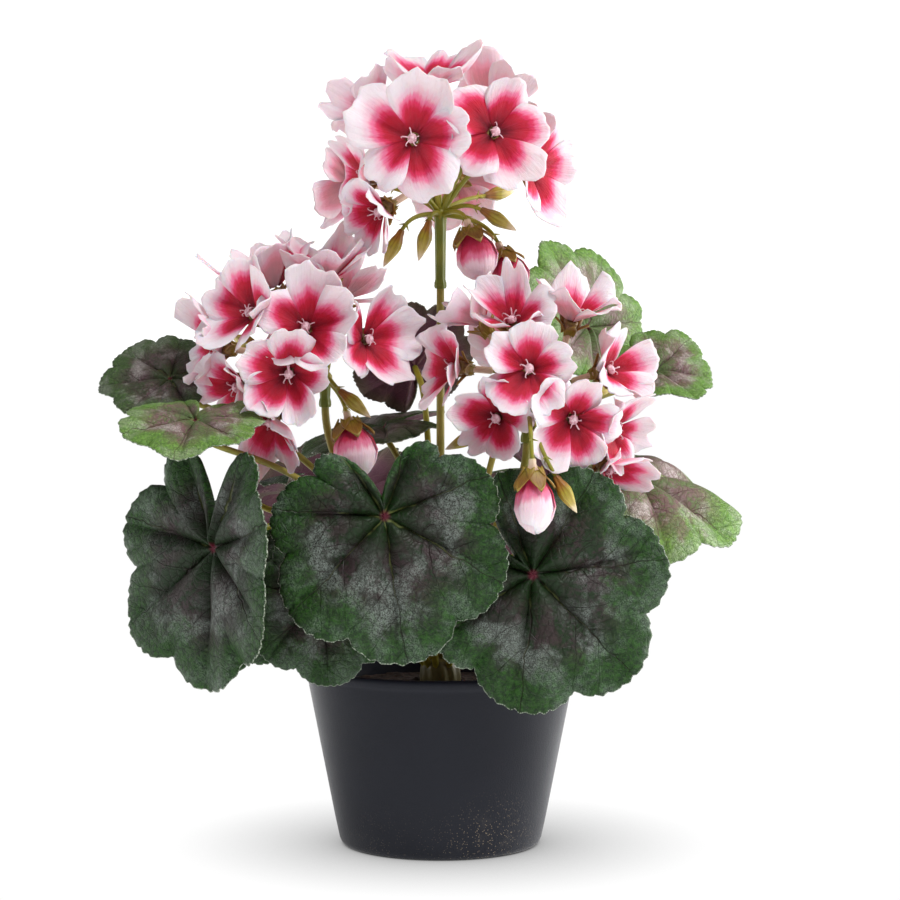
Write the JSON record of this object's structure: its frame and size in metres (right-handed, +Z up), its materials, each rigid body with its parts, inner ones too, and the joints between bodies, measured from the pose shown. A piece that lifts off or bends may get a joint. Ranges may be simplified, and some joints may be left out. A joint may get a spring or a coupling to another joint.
{
  "type": "artificial potted geranium",
  "caption": "Bushy geranium in a plain tapered pot: rounded scalloped leaves on stalks and three round heads of two-tone five-petalled flowers with drooping buds.",
  "frame": {"origin": "centre of the pot's flat base", "axes": "+Z up along the pot's axis, -Y toward the plant's front, +X to its right"},
  "size_m": [0.2825, 0.2051, 0.3477],
  "materials": {
    "pot": "charcoal moulded plastic, satin, with faint dust",
    "potting_mix": "dark crumbly potting mix",
    "stalk": "moulded yellow-green stalks, satin, with olive bud scales",
    "leaf": "pressed fabric, dark green margin, grey-purple flocked middle, dark veins, maroon underside, frayed pale edge",
    "petal": "thin pressed fabric, white to pale lavender edge running through pink into a crimson throat",
    "bud": "rolled fabric petals, pale pink with crimson streaks"
  },
  "bodies": {
    "root": {"bud_left_1": "bud", "bud_right_1": "bud", "bud_top_1": "bud", "bud_top_2": "bud", "crown_and_leaf_stalks": "stalk", "flower_left_1": "petal", "flower_left_10": "petal", "flower_left_2": "petal", "flower_left_3": "petal", "flower_left_4": "petal", "flower_left_5": "petal", "flower_left_6": "petal", "flower_left_7": "petal", "flower_left_8": "petal", "flower_left_9": "petal", "flower_right_1": "petal", "flower_right_10": "petal", "flower_right_11": "petal", "flower_right_2": "petal", "flower_right_3": "petal", "flower_right_4": "petal", "flower_right_5": "petal", "flower_right_6": "petal", "flower_right_7": "petal", "flower_right_8": "petal", "flower_right_9": "petal", "flower_top_1": "petal", "flower_top_10": "petal", "flower_top_2": "petal", "flower_top_3": "petal", "flower_top_4": "petal", "flower_top_5": "petal", "flower_top_6": "petal", "flower_top_7": "petal", "flower_top_8": "petal", "flower_top_9": "petal", "leaf_back_left": "leaf", "leaf_back_right": "leaf", "leaf_back_top": "leaf", "leaf_far_left": "leaf", "leaf_far_right": "leaf", "leaf_front_centre": "leaf", "leaf_front_left": "leaf", "leaf_front_right": "leaf", "leaf_left_behind": "leaf", "leaf_left_light": "leaf", "leaf_low_centre": "leaf", "leaf_low_left": "leaf", "leaf_middle_left": "leaf", "leaf_right_droop": "leaf", "leaf_right_top": "leaf", "leaf_right_under": "leaf", "pot": "pot", "potting_mix": "potting_mix", "scape_left": "stalk", "scape_right": "stalk", "scape_top": "stalk", "umbel_left": "stalk", "umbel_right": "stalk", "umbel_top": "stalk"}
  },
  "joints": []
}
